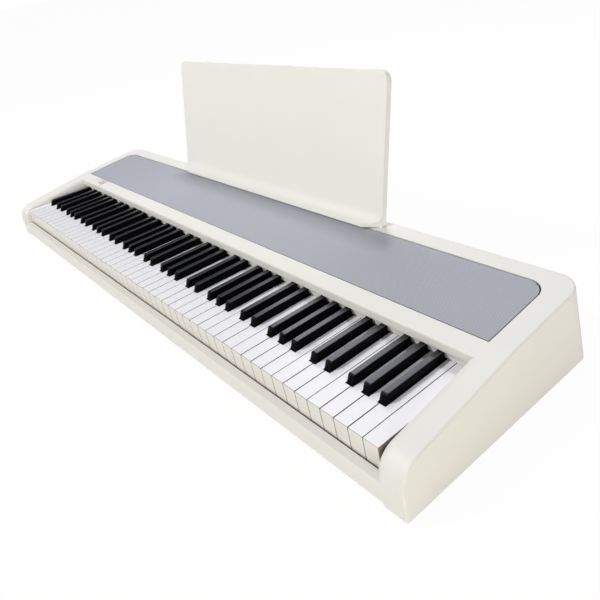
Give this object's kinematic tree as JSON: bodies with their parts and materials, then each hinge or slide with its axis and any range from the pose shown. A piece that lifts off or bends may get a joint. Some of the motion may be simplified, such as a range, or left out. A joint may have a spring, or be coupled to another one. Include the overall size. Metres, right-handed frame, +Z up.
{
  "type": "digital piano",
  "caption": "Slab digital piano in a white moulded case: full-width weighted keyboard, perforated speaker grille behind it, lift-off music rest, power button and volume knob.",
  "frame": {"origin": "Middle of the whole outline, on the floor under the rubber feet", "axes": "X along the keyboard to the treble end, Y from the player to the rear, Z up"},
  "size_m": [1.312, 0.3794, 0.3442],
  "materials": {
    "case_white": "fine satin moulding, warm white",
    "plate_grey": "plain moulded underside",
    "grille_silver": "perforated sheet, silver grey",
    "speaker_black": "black cone and basket",
    "frame_grey": "moulded keybed",
    "steel": "plain steel",
    "felt_red": "pressed felt",
    "board_green": "circuit board lacquer",
    "rubber_grey": "silicone rubber",
    "rubber_black": "moulded rubber",
    "foam_black": "open foam gasket",
    "panel_black": "satin black moulding",
    "brass": "turned brass",
    "control_white": "satin moulding, warm white",
    "rest_cream": "fine satin moulding, cream white",
    "key_white": "semi-gloss white keytop",
    "key_black": "satin black keytop"
  },
  "bodies": {
    "case": {"top_case": "case_white", "bottom_case": "plate_grey", "speaker_grille": "grille_silver", "grille_gasket": "foam_black", "left_speaker": "speaker_black", "right_speaker": "speaker_black", "key_frame": "frame_grey", "pivot_rail": "steel", "stop_felts": "felt_red", "contact_board": "board_green", "contact_rubber": "rubber_grey", "main_board": "board_green", "jack_board": "board_green", "control_board": "board_green", "jack_panel": "panel_black", "jack_sockets": "panel_black", "dc_inlet": "panel_black", "usb_socket": "steel", "rubber_feet": "rubber_black", "stand_inserts": "brass", "case_screws": "steel"},
    "key_c_4": {"key_c_4": "key_white"},
    "keys_c": {"keys_c": "key_white"},
    "key_c_sharp_4": {"key_c_sharp_4": "key_black"},
    "keys_c_sharp": {"keys_c_sharp": "key_black"},
    "key_d_4": {"key_d_4": "key_white"},
    "keys_d": {"keys_d": "key_white"},
    "key_d_sharp_4": {"key_d_sharp_4": "key_black"},
    "keys_d_sharp": {"keys_d_sharp": "key_black"},
    "key_e_4": {"key_e_4": "key_white"},
    "keys_e": {"keys_e": "key_white"},
    "key_f_4": {"key_f_4": "key_white"},
    "keys_f": {"keys_f": "key_white"},
    "key_f_sharp_4": {"key_f_sharp_4": "key_black"},
    "keys_f_sharp": {"keys_f_sharp": "key_black"},
    "key_g_4": {"key_g_4": "key_white"},
    "keys_g": {"keys_g": "key_white"},
    "key_g_sharp_4": {"key_g_sharp_4": "key_black"},
    "keys_g_sharp": {"keys_g_sharp": "key_black"},
    "key_a_4": {"key_a_4": "key_white"},
    "keys_a": {"keys_a": "key_white"},
    "key_a_sharp_4": {"key_a_sharp_4": "key_black"},
    "keys_a_sharp": {"keys_a_sharp": "key_black"},
    "key_b_4": {"key_b_4": "key_white"},
    "keys_b": {"keys_b": "key_white"},
    "power_button": {"power_button": "control_white"},
    "volume_knob": {"volume_knob": "control_white"},
    "music_rest": {"music_rest": "rest_cream"}
  },
  "joints": [
    {"name": "key_c_4_stroke", "type": "hinge", "parent": "case", "child": "key_c_4", "pos_m": [0, 0.03226, 0.058], "axis": [1, 0, 0], "range_deg": [0, 2.8], "stiffness_Nm_per_rad": 0.5, "springref_deg": -22.92},
    {"name": "keys_c_stroke", "type": "hinge", "parent": "case", "child": "keys_c", "pos_m": [0, 0.03226, 0.058], "axis": [1, 0, 0], "range_deg": [0, 2.8], "stiffness_Nm_per_rad": 3.5, "springref_deg": -22.92},
    {"name": "key_c_sharp_4_stroke", "type": "hinge", "parent": "case", "child": "key_c_sharp_4", "pos_m": [0, 0.03226, 0.058], "axis": [1, 0, 0], "range_deg": [0, 2.8], "stiffness_Nm_per_rad": 0.5, "springref_deg": -22.92},
    {"name": "keys_c_sharp_stroke", "type": "hinge", "parent": "case", "child": "keys_c_sharp", "pos_m": [0, 0.03226, 0.058], "axis": [1, 0, 0], "range_deg": [0, 2.8], "stiffness_Nm_per_rad": 3, "springref_deg": -22.92},
    {"name": "key_d_4_stroke", "type": "hinge", "parent": "case", "child": "key_d_4", "pos_m": [0, 0.03226, 0.058], "axis": [1, 0, 0], "range_deg": [0, 2.8], "stiffness_Nm_per_rad": 0.5, "springref_deg": -22.92},
    {"name": "keys_d_stroke", "type": "hinge", "parent": "case", "child": "keys_d", "pos_m": [0, 0.03226, 0.058], "axis": [1, 0, 0], "range_deg": [0, 2.8], "stiffness_Nm_per_rad": 3, "springref_deg": -22.92},
    {"name": "key_d_sharp_4_stroke", "type": "hinge", "parent": "case", "child": "key_d_sharp_4", "pos_m": [0, 0.03226, 0.058], "axis": [1, 0, 0], "range_deg": [0, 2.8], "stiffness_Nm_per_rad": 0.5, "springref_deg": -22.92},
    {"name": "keys_d_sharp_stroke", "type": "hinge", "parent": "case", "child": "keys_d_sharp", "pos_m": [0, 0.03226, 0.058], "axis": [1, 0, 0], "range_deg": [0, 2.8], "stiffness_Nm_per_rad": 3, "springref_deg": -22.92},
    {"name": "key_e_4_stroke", "type": "hinge", "parent": "case", "child": "key_e_4", "pos_m": [0, 0.03226, 0.058], "axis": [1, 0, 0], "range_deg": [0, 2.8], "stiffness_Nm_per_rad": 0.5, "springref_deg": -22.92},
    {"name": "keys_e_stroke", "type": "hinge", "parent": "case", "child": "keys_e", "pos_m": [0, 0.03226, 0.058], "axis": [1, 0, 0], "range_deg": [0, 2.8], "stiffness_Nm_per_rad": 3, "springref_deg": -22.92},
    {"name": "key_f_4_stroke", "type": "hinge", "parent": "case", "child": "key_f_4", "pos_m": [0, 0.03226, 0.058], "axis": [1, 0, 0], "range_deg": [0, 2.8], "stiffness_Nm_per_rad": 0.5, "springref_deg": -22.92},
    {"name": "keys_f_stroke", "type": "hinge", "parent": "case", "child": "keys_f", "pos_m": [0, 0.03226, 0.058], "axis": [1, 0, 0], "range_deg": [0, 2.8], "stiffness_Nm_per_rad": 3, "springref_deg": -22.92},
    {"name": "key_f_sharp_4_stroke", "type": "hinge", "parent": "case", "child": "key_f_sharp_4", "pos_m": [0, 0.03226, 0.058], "axis": [1, 0, 0], "range_deg": [0, 2.8], "stiffness_Nm_per_rad": 0.5, "springref_deg": -22.92},
    {"name": "keys_f_sharp_stroke", "type": "hinge", "parent": "case", "child": "keys_f_sharp", "pos_m": [0, 0.03226, 0.058], "axis": [1, 0, 0], "range_deg": [0, 2.8], "stiffness_Nm_per_rad": 3, "springref_deg": -22.92},
    {"name": "key_g_4_stroke", "type": "hinge", "parent": "case", "child": "key_g_4", "pos_m": [0, 0.03226, 0.058], "axis": [1, 0, 0], "range_deg": [0, 2.8], "stiffness_Nm_per_rad": 0.5, "springref_deg": -22.92},
    {"name": "keys_g_stroke", "type": "hinge", "parent": "case", "child": "keys_g", "pos_m": [0, 0.03226, 0.058], "axis": [1, 0, 0], "range_deg": [0, 2.8], "stiffness_Nm_per_rad": 3, "springref_deg": -22.92},
    {"name": "key_g_sharp_4_stroke", "type": "hinge", "parent": "case", "child": "key_g_sharp_4", "pos_m": [0, 0.03226, 0.058], "axis": [1, 0, 0], "range_deg": [0, 2.8], "stiffness_Nm_per_rad": 0.5, "springref_deg": -22.92},
    {"name": "keys_g_sharp_stroke", "type": "hinge", "parent": "case", "child": "keys_g_sharp", "pos_m": [0, 0.03226, 0.058], "axis": [1, 0, 0], "range_deg": [0, 2.8], "stiffness_Nm_per_rad": 3, "springref_deg": -22.92},
    {"name": "key_a_4_stroke", "type": "hinge", "parent": "case", "child": "key_a_4", "pos_m": [0, 0.03226, 0.058], "axis": [1, 0, 0], "range_deg": [0, 2.8], "stiffness_Nm_per_rad": 0.5, "springref_deg": -22.92},
    {"name": "keys_a_stroke", "type": "hinge", "parent": "case", "child": "keys_a", "pos_m": [0, 0.03226, 0.058], "axis": [1, 0, 0], "range_deg": [0, 2.8], "stiffness_Nm_per_rad": 3.5, "springref_deg": -22.92},
    {"name": "key_a_sharp_4_stroke", "type": "hinge", "parent": "case", "child": "key_a_sharp_4", "pos_m": [0, 0.03226, 0.058], "axis": [1, 0, 0], "range_deg": [0, 2.8], "stiffness_Nm_per_rad": 0.5, "springref_deg": -22.92},
    {"name": "keys_a_sharp_stroke", "type": "hinge", "parent": "case", "child": "keys_a_sharp", "pos_m": [0, 0.03226, 0.058], "axis": [1, 0, 0], "range_deg": [0, 2.8], "stiffness_Nm_per_rad": 3.5, "springref_deg": -22.92},
    {"name": "key_b_4_stroke", "type": "hinge", "parent": "case", "child": "key_b_4", "pos_m": [0, 0.03226, 0.058], "axis": [1, 0, 0], "range_deg": [0, 2.8], "stiffness_Nm_per_rad": 0.5, "springref_deg": -22.92},
    {"name": "keys_b_stroke", "type": "hinge", "parent": "case", "child": "keys_b", "pos_m": [0, 0.03226, 0.058], "axis": [1, 0, 0], "range_deg": [0, 2.8], "stiffness_Nm_per_rad": 3.5, "springref_deg": -22.92},
    {"name": "power_press", "type": "slide", "parent": "case", "child": "power_button", "axis": [0, 0.1582, -0.9874], "range_m": [0, 0.0012], "stiffness_N_per_m": 400, "springref_m": -0.002},
    {"name": "volume_turn", "type": "hinge", "parent": "case", "child": "volume_knob", "pos_m": [-0.507, -0.01559, 0.1003], "axis": [0, -0.1582, 0.9874], "range_deg": [-150, 150]},
    {"name": "rest_lift", "type": "slide", "parent": "case", "child": "music_rest", "axis": [0, 0.2351, 0.972], "range_m": [0, 0.02]}
  ]
}
